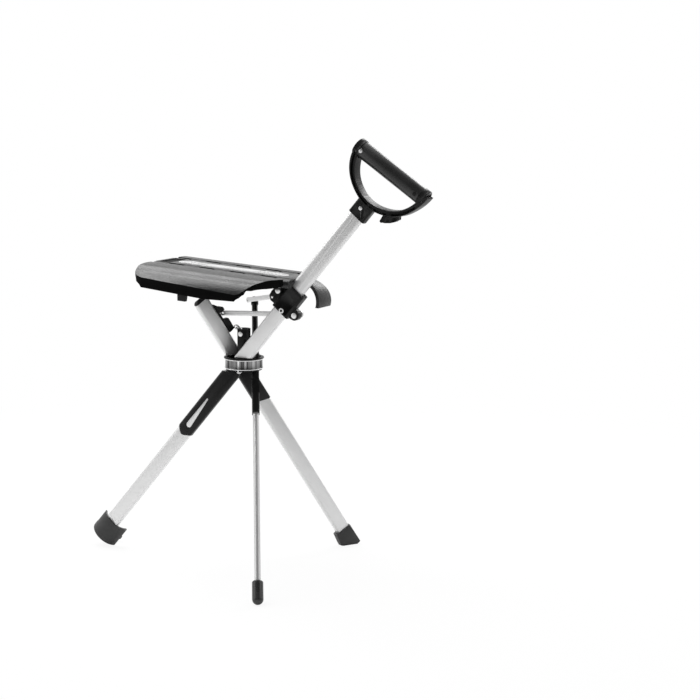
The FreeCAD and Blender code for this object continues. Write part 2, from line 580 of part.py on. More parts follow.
def link(start, end, bend, ball, eye_r, hole_r):
    """Flat strap with a round eye at each end, drawn in hub axes."""
    points = [start] + bend + [end]
    parts = []
    for p, q in zip(points[:-1], points[1:]):
        along = q.sub(p)
        length = along.Length
        along.normalize()
        side_dir = V(0, 0, 1).cross(along)
        side_dir.normalize()
        up = along.cross(side_dir)
        strap = box(0, length, -LINK_T / 2, LINK_T / 2, -LINK_W / 2, LINK_W / 2)
        m = FreeCAD.Matrix(
            along.x, side_dir.x, up.x, p.x,
            along.y, side_dir.y, up.y, p.y,
            along.z, side_dir.z, up.z, p.z,
            0, 0, 0, 1)
        strap.Placement = FreeCAD.Placement(m)
        parts.append(strap)
        parts.append(Part.makeCylinder(LINK_T / 2, LINK_W, p.sub(up * (LINK_W / 2)), up))
    last = points[-1].sub(points[-2])
    last.normalize()
    last_side = last.cross(V(0, 0, 1))
    last_side.normalize()
    eye = Part.makeCylinder(eye_r, LINK_T, end.sub(last_side * (LINK_T / 2)), last_side)
    hole = Part.makeCylinder(hole_r, 20, end.sub(last_side * 10), last_side)
    head = Part.makeSphere(ball + 2.0, start)
    head = head.cut(box(start.x - 20, start.x + 20, start.y - 20, start.y - 1.3, start.z - 20, start.z + 20))
    out = joined(parts + [eye, head])
    out = out.cut(hole)
    return out.cut(Part.makeSphere(ball + SEAT_FIT, start))


link_b_start = POLE_AT.multVec(V(P2_U, BALL_V, P2_S))
link_b_end = LEG_AT.multVec(V(LINK_B_U, 0, LINK_B_S))
link_b_bend = [V(58.0, link_b_start.y - 2.0, 86.5)]
put("link_leg", link(link_b_start, link_b_end, link_b_bend, BALL_R, 4.2, 1.6), HERE)
link_c_start = POLE_AT.multVec(V(LINK_C_U, BALL_V, LINK_C_S))
link_c_end = ROD_AT.multVec(V(LINK_C_END_U, LINK_C_END_V, LINK_C_END_S))
put("link_rod", link(link_c_start, link_c_end, [], BALL_R - 0.8, 4.6, 1.8), HERE)

# Seat panel: shell with a ribbed top, hinge knuckles along both sides
panel = box(PANEL_F0, PANEL_F1, -PANEL_HALF, PANEL_HALF, SEAT_UNDER, SEAT_TOP)
cavity = box(PANEL_F0 + SKIN, PANEL_F1 - SKIN, -PANEL_HALF + SKIN, PANEL_HALF - SKIN,
             SEAT_UNDER - 1, SEAT_TOP - SKIN)
panel = panel.cut(cavity)
side_low = box(PANEL_F0 + SKIN, PANEL_F1 + 1, -PANEL_HALF - 1, PANEL_HALF + 1, SEAT_UNDER - 1, HINGE_W)
panel = panel.cut(side_low)
collar_room = box(-27, PANEL_F1 + 1, -PIVOT_RADIUS - 9.7, -PIVOT_RADIUS + 9.7, -1, SEAT_TOP - SKIN)
panel = panel.cut(collar_room)
pitch = (PANEL_F1 - PANEL_F0) / KNUCKLES


def knuckle(index, side, web_to, web_low):
    """One hinge barrel with its web; side is -1 near, +1 far."""
    f0 = PANEL_F0 + index * pitch + KNUCKLE_GAP
    f1 = PANEL_F0 + (index + 1) * pitch - KNUCKLE_GAP
    barrel = cyl(BARREL_R, (f0, side * HINGE_Y, HINGE_W), (1, 0, 0), f1 - f0)
    y_a = side * HINGE_Y
    y_b = side * web_to
    web = box(f0, f1, min(y_a, y_b), max(y_a, y_b), web_low, HINGE_W + BARREL_R)
    return barrel.fuse(web)


panel_parts = [panel]
for side in (-1, 1):
    for index in range(0, KNUCKLES, 2):
        panel_parts.append(knuckle(index, side, PANEL_HALF, HINGE_W))
panel = joined(panel_parts)
for side in (-1, 1):
    corner_cut = poly_prism([
        (PANEL_F0 - 1, side * 31), (PANEL_F0 + 5, side * 44), (PANEL_F0 - 1, side * 44),
    ], "xy", -10, 30)
    panel = panel.cut(corner_cut)
    panel = panel.cut(cyl(HINGE_PIN_R, (PANEL_F0 + 3, side * HINGE_Y, HINGE_W), (1, 0, 0), 256))
# Cross ribs under the skin
for f_rib in (-190, -150, -110, -70):
    rib = box(f_rib, f_rib + 2, -PANEL_HALF + 1, PANEL_HALF - 1, SEAT_TOP - SKIN - 1.5, SEAT_TOP - SKIN + 0.5)
    panel = panel.fuse(rib)
panel = panel.removeSplitter()
# Lugs that hang from the skin to the seat pivot
lug_lines = [(-14, SEAT_TOP - 3), (5.6, SEAT_TOP - 3), (5.6, 1), (-5.6, -1), (-12, 6)]
for v0, v1 in ((-COLLAR_HALF_V, -EAR_HALF_V - 0.35), (EAR_HALF_V + 0.35, COLLAR_HALF_V)):
    y0 = v0 - PIVOT_RADIUS
    y1 = v1 - PIVOT_RADIUS
    lug = poly_prism(lug_lines, "xz", y0, y1).fuse(cyl(6.0, (0, y0, 0), (0, 1, 0), y1 - y0))
    lug = lug.cut(cyl(RIVET_R + SEAT_FIT, (0, y0 - 1, 0), (0, 1, 0), y1 - y0 + 2))
    panel = panel.fuse(lug)
panel = panel.removeSplitter()
# Notch that lets the pole and the collar pass at the rear
notch = joined([
    box(COLLAR_U0 - 1.2, 80, -COLLAR_HALF_V - 0.8, COLLAR_HALF_V + 0.8, 100, COLLAR_S1 + 1.5),
    box(-TUBE_W / 2 - 1.0, 80, -TUBE_T / 2 - 1.0, TUBE_T / 2 + 1.0, 100, 240),
])
notch = placed(notch, SEAT_AT.inverse().multiply(POLE_AT))
panel = panel.cut(notch)
# Pull tab: curved plate behind the panel
tab_c = V(PANEL_F1 - 1, 0, -17)
tab_o = Part.makeCylinder(37.5, 60, V(tab_c.x, -3, tab_c.z), V(0, 1, 0))
tab_i = Part.makeCylinder(32.0, 60, V(tab_c.x, -3, tab_c.z), V(0, 1, 0))
tab = tab_o.cut(tab_i).common(box(tab_c.x, tab_c.x + 60, -3, 57, -24, 40))
tab_points = [
    (tab_c.x, -3), (tab_c.x, 22), (tab_c.x + 18, 27), (tab_c.x + 40, 43), (tab_c.x + 40, -3),
]
tab_plan = poly_prism(tab_points, "xy", -30, 40)
tab = tab.common(tab_plan)
# Seat top features: strip groove and front recess
strip_mid = box(STRIP_F0 + STRIP_HALF, STRIP_F1 - STRIP_HALF, -STRIP_HALF, STRIP_HALF,
                SEAT_TOP - STRIP_DEEP, SEAT_TOP + 2)
strip_a = cyl(STRIP_HALF, (STRIP_F0 + STRIP_HALF, 0, SEAT_TOP - STRIP_DEEP), (0, 0, 1), STRIP_DEEP + 2)
strip_b = cyl(STRIP_HALF, (STRIP_F1 - STRIP_HALF, 0, SEAT_TOP - STRIP_DEEP), (0, 0, 1), STRIP_DEEP + 2)
strip_tool = joined([strip_mid, strip_a, strip_b])
panel = panel.cut(strip_tool)
panel = panel.cut(box(PANEL_F0 + 5, PANEL_F0 + 27, -27.0, 27.0, SEAT_TOP - 1.2, SEAT_TOP + 1))
panel = panel.fuse(tab).removeSplitter()
panel = max(panel.Solids, key=lambda s: s.Volume)
put("seat_panel", panel, SEAT_AT)
strip = strip_tool.common(box(-300, 100, -30, 30, 0, SEAT_TOP + STRIP_PROUD))
put("inlay_strip", strip, SEAT_AT)

# Wings: curved shells with a side wall, hinged along the panel
CREASE_FRONT = -9.0
CREASE_REAR = -20.0
DEPTH_FRONT = -25.5
DEPTH_REAR = -36.0
top_line = [(WING_IN, 8.0), (22, 8.0), (36, 7.0), (50, 3.6), (62, -3.2)]
under_line = [(WING_IN, 4.0), (22, 4.0), (36, 3.0), (50, -0.4), (62, -7.2)]
deep_line = [(WING_IN, -3.6), (22, -5.2), (36, -6.4), (50, -7.0), (58, -9.0)]


def wing_section(upper, lower, drop_top, drop_low, level):
    """Closed section across the wing at one station along the seat."""
    up = upper + [(WING_OUT, drop_top)]
    low = lower + [(WING_OUT, drop_low)]
    e1 = spline(up, "yz", level)
    e3 = spline(low, "yz", level)
    e2 = Part.makeLine(V(level, *up[-1]), V(level, *low[-1]))
    e4 = Part.makeLine(V(level, *low[0]), V(level, *up[0]))
    return Part.Wire([e1, e2, e3, e4])


def wing_body(lower, low_front, low_rear):
    front = wing_section(top_line, lower, CREASE_FRONT, low_front, PANEL_F0)
    rear = wing_section(top_line, lower, CREASE_REAR, low_rear, PANEL_F1)
    return Part.makeLoft([front, rear], True, True)


def outline(inset):
    """Plan outline of a wing, counted outward from the hinge line."""
    a = inset
    pts = [
        (PANEL_F0 + a, WING_IN - 0.1), (PANEL_F0 + a, 46),
        (PANEL_F0 + a + 3, 60 - a * 0.4), (PANEL_F0 + a + 11, 69 - a * 0.7),
        (PANEL_F0 + a + 22, WING_OUT - a), (-36 - a * 0.2, WING_OUT - a),
        (-28 - a * 0.5, 70.8 - a), (-21.5 - a * 0.8, 67.6 - a), (-14 - a, 60.8 - a),
        (-3 - a * 1.3, 49 - a * 0.8), (12 - a * 1.6, 22 - a * 0.5), (17 - a * 1.8, WING_IN - 0.1),
    ]
    return poly_prism(pts, "xy", -60, 30)


skin_part = wing_body(under_line, CREASE_FRONT - SKIN, CREASE_REAR - SKIN)
rim_part = wing_body(deep_line, DEPTH_FRONT, DEPTH_REAR)
plan = outline(0)
skin_part = skin_part.common(plan)
rim_part = rim_part.common(plan.cut(outline(RIM_WALL)))
wing = skin_part.fuse(rim_part)
# The side wall's front corner is rounded off, and the front wall is low, to pass over the flange
nose = poly_prism([
    (PANEL_F0 - 1, -10.0), (PANEL_F0 + 4, -15.5), (PANEL_F0 + 11, -20.5), (PANEL_F0 + 21, -26.0),
    (PANEL_F0 + 40, -32.0), (PANEL_F0 + 40, -60), (PANEL_F0 - 1, -60),
], "xz", 56, 100)
front_gap = poly_prism([
    (10, -0.6), (50, -0.9), (56, -4.5), (61, -10), (61, -60), (10, -60),
], "yz", PANEL_F0 - 1, PANEL_F0 + RIM_WALL + 1)
# Behind the corner the wall stays above the collar, which passes inside it while folding
rear_gap = box(-21.0, 40, 0, 80, -60, -9.4)
wing = wing.cut(nose).cut(front_gap).cut(rear_gap).removeSplitter()
wing_near = wing.mirror(V(0, 0, 0), V(0, 1, 0))
for side, name in ((-1, "near_wing"), (1, "far_wing")):
    shape = wing_near if side < 0 else wing.copy()
    shape.translate(V(0, side * HINGE_Y, HINGE_W))
    parts = [shape]
    for index in range(1, KNUCKLES, 2):
        parts.append(knuckle(index, side, HINGE_Y + WING_IN + 1.5, HINGE_W + 1.0))
    shape = joined(parts)
    shape = shape.cut(cyl(HINGE_PIN_R + SEAT_FIT, (PANEL_F0 - 1, side * HINGE_Y, HINGE_W), (1, 0, 0), 264))
    put(name, shape, SEAT_AT)
hinge_pins = []
for side in (-1, 1):
    hinge_pins.append(cyl(HINGE_PIN_R, (PANEL_F0 + 3, side * HINGE_Y, HINGE_W), (1, 0, 0), 256))
put("wing_hinge_pins", Part.Compound(hinge_pins), SEAT_AT)

# U-shaped strap clip inside the near wing's side wall
CLIP_F0 = -145.5
CLIP_F1 = -127.5
CLIP_T = 1.8
CLIP_Y0 = -104.6
CLIP_Y1 = -97.0
CLIP_LOW = -11.5
CLIP_HIGH = 0.0
clip = box(CLIP_F0, CLIP_F1, CLIP_Y0, CLIP_Y1, CLIP_LOW, CLIP_HIGH)
clip = clip.cut(box(CLIP_F0 + CLIP_T, CLIP_F1 - CLIP_T, CLIP_Y0, CLIP_Y1, CLIP_LOW + CLIP_T, CLIP_HIGH))
put("wing_clip", clip, SEAT_AT)

# Move everything so that the box stands on the floor and is centred
everything = Part.Compound(list(NODES.values()))
bounds = everything.optimalBoundingBox()
shift = V(-(bounds.XMin + bounds.XMax) / 2, -(bounds.YMin + bounds.YMax) / 2, HUB_HEIGHT)
for name, shape in NODES.items():
    out = shape.copy()
    out.translate(shift)
    out.exportStep("parts/" + name + ".step")
    print(name, len(out.Solids), round(out.Volume / 1000, 2), out.isValid(), round(out.BoundBox.ZMin, 2))
print("shift", round(shift.x, 3), round(shift.y, 3), round(shift.z, 3))
low, high = round(bounds.ZMin + HUB_HEIGHT, 3), round(bounds.ZMax + HUB_HEIGHT, 1)
print("box", round(bounds.XLength, 1), round(bounds.YLength, 1), low, high)
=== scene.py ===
# %% [markdown]
# # A walking stick that opens into a three-legged seat
# The CAD model gives every part its place and size. This lesson dresses it: each part gets rounded
# edges, moulded detail and a finish, and then the light and the camera are set.
# We start by loading the CAD parts as a fixed frame.

import math

import bpy
from mathutils import Matrix, Vector


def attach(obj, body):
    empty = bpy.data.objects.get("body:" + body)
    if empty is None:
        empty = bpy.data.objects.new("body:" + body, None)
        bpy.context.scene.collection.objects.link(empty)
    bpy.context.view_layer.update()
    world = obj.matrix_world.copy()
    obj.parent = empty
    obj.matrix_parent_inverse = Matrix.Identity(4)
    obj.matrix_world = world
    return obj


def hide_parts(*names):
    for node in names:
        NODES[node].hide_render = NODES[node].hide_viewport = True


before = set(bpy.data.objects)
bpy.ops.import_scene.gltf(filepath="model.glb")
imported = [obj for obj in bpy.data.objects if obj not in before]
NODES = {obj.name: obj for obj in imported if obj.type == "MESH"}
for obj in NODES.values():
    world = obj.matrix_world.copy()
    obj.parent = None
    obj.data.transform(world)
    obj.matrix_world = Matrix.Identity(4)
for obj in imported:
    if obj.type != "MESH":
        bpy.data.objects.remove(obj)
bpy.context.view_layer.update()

# %% [markdown]
# The stick is easiest to think about in a few tilted frames. Each leg has its own: u across the flat
# tube, v through its thickness and s along it, all from the pivot pin in the hub. The seat has f to the
# rear, y to the side and w up, from its pivot on the collar. One matrix per frame turns those
# coordinates into the room's.

# %% Frames of the hub, the legs and the seat
MM = 0.001
HUB = Vector((-22.548, -2.359, 343.7)) * MM
PIVOT_RADIUS = 19.0 * MM
TILT_POLE, TILT_LEG, TILT_ROD, TILT_SEAT = 40.4, 34.0, 37.4, 3.8


def leg_frame(azimuth, tilt):
    turn = Matrix.Rotation(math.radians(azimuth), 4, "Z")
    lean = Matrix.Rotation(math.radians(tilt), 4, "Y")
    return Matrix.Translation(HUB) @ turn @ Matrix.Translation((0, -PIVOT_RADIUS, 0)) @ lean


HUB_AT = Matrix.Translation(HUB)
POLE_AT = leg_frame(0, TILT_POLE)
LEG_AT = leg_frame(-120, TILT_LEG)
ROD_AT = leg_frame(120, TILT_ROD)
SEAT_PIVOT_U, SEAT_PIVOT_S = -22.8 * MM, 148.9 * MM
SEAT_PIVOT = POLE_AT @ Vector((SEAT_PIVOT_U, PIVOT_RADIUS, SEAT_PIVOT_S))
SEAT_AT = Matrix.Translation(SEAT_PIVOT) @ Matrix.Rotation(math.radians(TILT_SEAT), 4, "Y")
print("seat pivot at", [round(v, 4) for v in SEAT_PIVOT])

# %% [markdown]
# The camera comes first, so that every later step can be compared with the photograph. It stands about
# three metres away, a little above the seat, and looks at the stick from its near side.
# A lens shift puts the stick left of the middle of the picture, as it is in the photograph.

# %% Camera
cam_data = bpy.data.cameras.new("photo_camera")
camera = bpy.data.objects.new("photo_camera", cam_data)
bpy.context.scene.collection.objects.link(camera)
VIEW_AZIMUTH, VIEW_DOWN = math.radians(29.4), math.radians(8.88)
CAMERA_AT = (1530.95, -2759.16, 833.7)
SENSOR_WIDTH = 36.0
# In pixels of the photograph: its width, the focal length and the point that the lens looks at
PHOTO_WIDTH, FOCAL_PIXELS = 700, 1919.5
AIM_ACROSS, AIM_DOWN = 244.0, 365.3
look = Vector((
    -math.sin(VIEW_AZIMUTH) * math.cos(VIEW_DOWN),
    math.cos(VIEW_AZIMUTH) * math.cos(VIEW_DOWN),
    -math.sin(VIEW_DOWN),
))
camera.location = Vector(CAMERA_AT) * MM
camera.rotation_euler = look.to_track_quat("-Z", "Y").to_euler()
cam_data.sensor_width = SENSOR_WIDTH
cam_data.lens = FOCAL_PIXELS / PHOTO_WIDTH * SENSOR_WIDTH
cam_data.shift_x = (PHOTO_WIDTH / 2 - AIM_ACROSS) / PHOTO_WIDTH
cam_data.shift_y = (AIM_DOWN - PHOTO_WIDTH / 2) / PHOTO_WIDTH
cam_data.clip_end = 50
bpy.context.scene.camera = camera
print("lens", round(cam_data.lens, 1), "mm")

# %% [markdown]
# A finish in Blender is a small tree of nodes. This helper adds one node, sets its sockets and
# returns it, so that a finish reads as a short list of steps.

# %% Helper for material nodes


def node(tree, kind, inputs=None, **settings):
    made = tree.nodes.new(kind)
    for key, value in settings.items():
        setattr(made, key, value)
    for key, value in (inputs or {}).items():
        if isinstance(value, bpy.types.NodeSocket):
            tree.links.new(value, made.inputs[key])
        else:
            made.inputs[key].default_value = value
    return made


def new_finish(name):
    """An empty material with a shader and the piece's own coordinates."""
    mat = bpy.data.materials.new(name)
    mat.use_nodes = True
    tree = mat.node_tree
    tree.nodes.clear()
    out = node(tree, "ShaderNodeOutputMaterial")
    shader = node(tree, "ShaderNodeBsdfPrincipled")
    tree.links.new(shader.outputs[0], out.inputs["Surface"])
    place = node(tree, "ShaderNodeTexCoord").outputs["Object"]
    return mat, tree, shader, place


def grey(value):
    return (value, value, value, 1)


def painted(tree, shader, tones):
    """Use a number between 0 and 1 as the shader's grey."""
    colour = node(tree, "ShaderNodeCombineColor", {"Red": tones, "Green": tones, "Blue": tones})
    tree.links.new(colour.outputs[0], shader.inputs["Base Color"])


def ramp(tree, factor, low, high, start=0.3, end=0.7):
    """Two greys or two numbers, blended by a factor."""
    spread = node(tree, "ShaderNodeMapRange", {
        "Value": factor, "From Min": start, "From Max": end, "To Min": low, "To Max": high})
    return spread.outputs[0]


print("material helpers ready")

# %% [markdown]
# Moulded black plastic is never one flat black. The mould leaves a fine grain that catches light, the
# gloss changes slowly across the part, and handling polishes it unevenly. A fine noise gives the grain
# as bump, and a slow noise moves the colour and the roughness.

# %% Moulded plastic


def moulded(name, tone, gloss, grain_size, grain_depth, specular=0.18, speckle=0.0):
    """Plastic or rubber; speckle is how far the grain moves the roughness, called gloss here."""
    mat, tree, shader, place = new_finish(name)
    grain = node(tree, "ShaderNodeTexNoise", {
        "Vector": place, "Scale": 1 / grain_size, "Detail": 3.0, "Roughness": 0.6})
    cloud = node(tree, "ShaderNodeTexNoise", {
        "Vector": place, "Scale": 28.0, "Detail": 4.0, "Roughness": 0.6})
    mix = node(tree, "ShaderNodeMath", {
        0: grain.outputs["Fac"], 1: cloud.outputs["Fac"]}, operation="MULTIPLY")
    tones = ramp(tree, mix.outputs[0], tone * 0.75, tone * 1.35, 0.15, 0.4)
    painted(tree, shader, tones)
    slow = ramp(tree, cloud.outputs["Fac"], gloss - 0.05, gloss + 0.07)
    quick = ramp(tree, grain.outputs["Fac"], -speckle, speckle, 0.38, 0.62)
    gloss_here = node(tree, "ShaderNodeMath", {0: slow, 1: quick}, operation="ADD")
    tree.links.new(gloss_here.outputs[0], shader.inputs["Roughness"])
    shader.inputs["Specular IOR Level"].default_value = specular
    bump = node(tree, "ShaderNodeBump", {
        "Height": grain.outputs["Fac"], "Distance": grain_depth, "Strength": 0.6})
    tree.links.new(bump.outputs[0], shader.inputs["Normal"])
    return mat


def waved(mat, middle, half_width, depth):
    """Add a shallow valley that runs along the seat, at a distance from its middle line."""
    tree = mat.node_tree
    place = node(tree, "ShaderNodeTexCoord").outputs["Object"]
    across = node(tree, "ShaderNodeSeparateXYZ", {0: place}).outputs["Y"]
    from_middle = node(tree, "ShaderNodeMath", {0: across, 1: SEAT_PIVOT.y}, operation="SUBTRACT")
    out_by = node(tree, "ShaderNodeMath", {0: from_middle.outputs[0]}, operation="ABSOLUTE")
    slopes = []
    for start, end, low, high in ((middle - half_width, middle, 1, 0), (middle, middle + half_width, 0, 1)):
        slopes.append(node(tree, "ShaderNodeMapRange", {
            "Value": out_by.outputs[0], "From Min": start, "From Max": end, "To Min": low, "To Max": high},
            interpolation_type="SMOOTHSTEP").outputs[0])
    valley = node(tree, "ShaderNodeMath", {0: slopes[0], 1: slopes[1]}, operation="MAXIMUM")
    grain = next(item for item in tree.nodes if item.type == "BUMP")
    wave = node(tree, "ShaderNodeBump", {
        "Height": valley.outputs[0], "Distance": depth, "Strength": 1.0, "Normal": grain.outputs[0]})
    shader = next(item for item in tree.nodes if item.type == "BSDF_PRINCIPLED")
    tree.links.new(wave.outputs[0], shader.inputs["Normal"])


black_plastic = moulded("black_plastic", 0.009, 0.36, 0.7 * MM, 0.05 * MM)
grained_plastic = moulded("grained_plastic", 0.012, 0.36, 3.0 * MM, 0.8 * MM, specular=0.36, speckle=0.05)
# Painted shade: a darker copy of the plastic that hardly reflects, for the wings' walls and the seat's
# pocket.
painted_shade_plastic = moulded("painted_shade_plastic", 0.002, 0.50, 1.6 * MM, 0.08 * MM, specular=0.04)
grip_plastic = moulded("grip_plastic", 0.014, 0.30, 1.2 * MM, 0.14 * MM, specular=0.55, speckle=0.03)
foot_rubber = moulded("foot_rubber", 0.028, 0.46, 1.2 * MM, 0.20 * MM, specular=0.40, speckle=0.04)
rod_rubber = moulded("rod_rubber", 0.016, 0.26, 1.2 * MM, 0.06 * MM, specular=0.55)
wing_plastic = moulded("wing_plastic", 0.012, 0.36, 3.0 * MM, 1.0 * MM, specular=0.40, speckle=0.06)
waved(wing_plastic, middle=87 * MM, half_width=10 * MM, depth=1.4 * MM)
inlay_plastic = moulded("inlay_plastic", 0.50, 0.36, 0.9 * MM, 0.08 * MM, specular=0.4)
print("plastics ready")

# %% [markdown]
# The tubes are aluminium with a satin, anodised skin: pale, softly reflecting, with very fine lines
# along the tube left by drawing it through a die. A noise stretched along the tube gives the lines. Each
# tube leans another way, so the lines are stretched along that tube's own direction.

# %% Satin aluminium


LINES_PER_METRE = (900, 900, 6)
LINE_DEPTH = 0.003 * MM


def satin(name, frame_at, tone=0.74, metal=0.72, rough=0.36, crown=0.0, half=13.0):
    """Drawn metal; crown is the rise in mm of its flat faces towards their middle line."""
    mat, tree, shader, place = new_finish(name)
    local = node(tree, "ShaderNodeMapping", {
        "Vector": place, "Location": frame_at.translation, "Rotation": frame_at.to_euler()},
        vector_type="TEXTURE")
    squeezed = node(tree, "ShaderNodeVectorMath", {
        0: local.outputs[0], 1: LINES_PER_METRE}, operation="MULTIPLY")
    lines = node(tree, "ShaderNodeTexNoise", {"Vector": squeezed.outputs[0], "Scale": 1.0, "Detail": 2.0})
    cloud = node(tree, "ShaderNodeTexNoise", {"Vector": place, "Scale": 30.0, "Detail": 3.0})
    tones = ramp(tree, lines.outputs["Fac"], tone * 0.985, tone * 1.01)
    painted(tree, shader, tones)
    tree.links.new(ramp(tree, cloud.outputs["Fac"], rough - 0.03, rough + 0.04), shader.inputs["Roughness"])
    shader.inputs["Metallic"].default_value = metal
    bump = node(tree, "ShaderNodeBump", {
        "Height": lines.outputs["Fac"], "Distance": LINE_DEPTH, "Strength": 0.5})
    if crown:
        across = node(tree, "ShaderNodeSeparateXYZ", {0: local.outputs[0]}).outputs["X"]
        share = node(tree, "ShaderNodeMath", {0: across, 1: half * MM}, operation="DIVIDE")
        squared = node(tree, "ShaderNodeMath", {
            0: share.outputs[0], 1: share.outputs[0]}, operation="MULTIPLY")
        fall = node(tree, "ShaderNodeMath", {0: 1.0, 1: squared.outputs[0]}, operation="SUBTRACT")
        bump = node(tree, "ShaderNodeBump", {
            "Height": fall.outputs[0], "Distance": crown * MM, "Strength": 1.0, "Normal": bump.outputs[0]})
    tree.links.new(bump.outputs[0], shader.inputs["Normal"])
    return mat


pole_satin = satin("pole_satin", POLE_AT, tone=0.72, crown=1.2)
leg_satin = satin("leg_satin", LEG_AT, tone=0.70, crown=0.5)
rod_satin = satin("rod_satin", ROD_AT, tone=0.62)
ALONG_X = Matrix.Rotation(math.radians(90), 4, "Y")
link_satin = satin("link_satin", ALONG_X, tone=0.8)
bright_steel = satin("bright_steel", HUB_AT, tone=0.82, metal=1.0, rough=0.24)
window_silver = satin("window_silver", POLE_AT, tone=0.7, metal=0.8, rough=0.32)
black_rod = moulded("black_rod", 0.010, 0.30, 1.0 * MM, 0.03 * MM, specular=0.5)
print("metals ready")

# %% [markdown]
# The band round the hub is polished. A mirror needs something to mirror: the upright streaks in it come
# from slow waves in its surface, round the hub but not up and down, so the noise is squeezed in height. The
# same waves also paint dark and pale upright streaks into its colour, which is painted reflection.

# %% Polished band
polished_band, tree, shader, place = new_finish("polished_band")
upright = node(tree, "ShaderNodeVectorMath", {0: place, 1: (150, 150, 3)}, operation="MULTIPLY")
waves_and_painted_reflection = node(tree, "ShaderNodeTexNoise", {
    "Vector": upright.outputs[0], "Scale": 1.0, "Detail": 3.0, "Roughness": 0.7})
# Painted reflection: the waves paint the band's grey from near black to mid grey.
tones = ramp(tree, waves_and_painted_reflection.outputs["Fac"], 0.03, 0.5, 0.40, 0.68)
painted(tree, shader, tones)
shader.inputs["Metallic"].default_value = 1.0
tree.links.new(ramp(tree, waves_and_painted_reflection.outputs["Fac"], 0.10, 0.24), shader.inputs["Roughness"])
bump = node(tree, "ShaderNodeBump", {
    "Height": waves_and_painted_reflection.outputs["Fac"], "Distance": 0.6 * MM, "Strength": 0.7})
tree.links.new(bump.outputs[0], shader.inputs["Normal"])
print("polished band ready")

# %% [markdown]
# Most parts are used with their CAD shape, but real edges are never sharp. This helper copies a CAD
# part, joins its loose triangles, removes the edges that lie flat, and rounds the rest with a Bevel
# modifier. The copy rides on the same body and stands in for the CAD part.

# %% Rounded copies of CAD parts
SAME_PLACE = 0.01 * MM
FLAT = math.radians(1)


def only(obj):
    """Select this object alone and make it active."""
    bpy.ops.object.select_all(action="DESELECT")
    obj.hide_viewport = False
    obj.select_set(True)
    bpy.context.view_layer.objects.active = obj


def join_into(target, others):
    """Make one piece of the target and the others, which keeps the target's name."""
    bpy.ops.object.select_all(action="DESELECT")
    for obj in others:
        obj.select_set(True)
    target.select_set(True)
    bpy.context.view_layer.objects.active = target
    bpy.ops.object.join()


def apply_all(obj):
    only(obj)
    for modifier in list(obj.modifiers):
        bpy.ops.object.modifier_apply(modifier=modifier.name)


def merged_copy(name, new_name):
    """A copy of a CAD part with its triangles joined into whole faces."""
    source = NODES[name]
    only(source)
    bpy.ops.object.duplicate(linked=False)
    copy = bpy.context.view_layer.objects.active
    copy.parent = None
    for key in list(copy.keys()):
        del copy[key]
    copy.name = new_name
    only(copy)
    bpy.ops.object.mode_set(mode="EDIT")
    bpy.ops.mesh.select_all(action="SELECT")
    bpy.ops.mesh.remove_doubles(threshold=SAME_PLACE)
    bpy.ops.mesh.dissolve_limited(angle_limit=FLAT)
    bpy.ops.object.mode_set(mode="OBJECT")
    return copy


def close_slivers(obj):
    """Join corners closer than a hundredth of a millimetre, which leave faces with no area."""
    bpy.ops.object.mode_set(mode="EDIT")
    bpy.ops.mesh.select_all(action="SELECT")
    bpy.ops.mesh.remove_doubles(threshold=SAME_PLACE)
    bpy.ops.mesh.dissolve_degenerate(threshold=SAME_PLACE)
    bpy.ops.object.mode_set(mode="OBJECT")


def round_edges(obj, width):
    """Round every edge where the faces turn by more than 35 degrees; the width is in mm."""
    bevel = obj.modifiers.new("edges", "BEVEL")
    bevel.width = width * MM
    bevel.segments = 3
    bevel.limit_method = "ANGLE"
    bevel.angle_limit = math.radians(35)
    bevel.harden_normals = False
    apply_all(obj)
    smooth(obj)


def settle(obj, frame_at, within=Matrix.Identity(4)):
    """Turn a piece modelled in a tilted frame, in mm, into the room's axes and apply that."""
    obj.matrix_world = frame_at @ Matrix.Scale(MM, 4) @ within
    only(obj)
    bpy.ops.object.transform_apply(location=True, rotation=True, scale=True)


def smooth(obj, angle=38.0):
    only(obj)
    bpy.ops.object.shade_smooth_by_angle(angle=math.radians(angle))


def wear(obj, finish, body, slot, *stands_for):
    """Give a finished piece its material, its body and the CAD parts that it stands for."""
    obj.data.materials.clear()
    obj.data.materials.append(finish)
    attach(obj, body)
    if stands_for:
        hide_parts(*stands_for)
    return obj


print("helpers for rounded copies ready")

# %% [markdown]
# Moulded parts also have sunk faces, grooves and fins. Two helpers pick faces and sink them, and
# two more give a point or a direction in the pole's or the seat's own axes, so that a face is picked
# by where it lies on the part.

# %% Picked and sunk faces


def pick_faces(obj, wanted):
    """Select the faces for which wanted(centre, normal) holds, and say how many."""
    only(obj)
    mesh = obj.data
    bpy.context.tool_settings.mesh_select_mode = (False, False, True)
    for group in (mesh.vertices, mesh.edges):
        for item in group:
            item.select = False
    count = 0
    for face in mesh.polygons:
        face.select = bool(wanted(face.center, face.normal))
        count += face.select
    return count


def carve(obj, wanted, margin, depth):
    """Sink a flat face, leaving a rim of the given margin round it, as a mould does."""
    count = pick_faces(obj, wanted)
    bpy.ops.object.mode_set(mode="EDIT")
    bpy.ops.mesh.inset(thickness=margin * MM, depth=0, use_even_offset=False)
    bpy.ops.mesh.inset(thickness=0.15 * MM, depth=-depth * MM, use_even_offset=False)
    bpy.ops.object.mode_set(mode="OBJECT")
    print(obj.name, "carved faces:", count)


def seen_from(matrix):
    """Two functions: one gives a point in a tilted frame, in mm, and the other a direction."""
    back = matrix.inverted()
    turn = back.to_3x3()
    return (lambda p: (back @ p) / MM), (lambda n: turn @ n)


pole_point, pole_turn = seen_from(POLE_AT)
seat_point, _ = seen_from(SEAT_AT)


